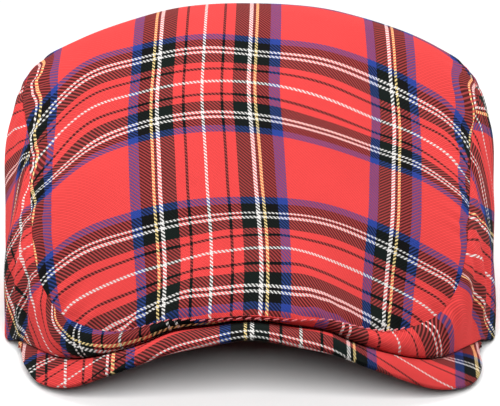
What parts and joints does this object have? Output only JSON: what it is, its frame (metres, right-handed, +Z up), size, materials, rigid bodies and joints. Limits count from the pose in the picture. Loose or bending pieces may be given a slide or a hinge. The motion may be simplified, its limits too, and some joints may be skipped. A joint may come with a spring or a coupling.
{
  "type": "flat cap",
  "caption": "Rounded flat cap with a sloping top panel over upright side walls, a low seam across the front and a short arched peak tucked under it, open below for the head.",
  "frame": {"origin": "bottom centre of the bounding box: on the surface that the hem stands on, below the middle of the cap", "axes": "+Z up; the front of the cap, with the peak, faces -Y; +X is the cap's side that a viewer facing its front sees on the right"},
  "size_m": [0.2, 0.2374, 0.1158],
  "materials": {
    "top_twill": "matte tartan twill",
    "side_twill_left": "matte tartan twill",
    "side_twill_right": "matte tartan twill",
    "peak_twill": "matte tartan twill over a stiff board"
  },
  "bodies": {
    "root": {"top_panel": "top_twill", "side_panel_left": "side_twill_left", "side_panel_right": "side_twill_right", "peak": "peak_twill"}
  },
  "joints": []
}
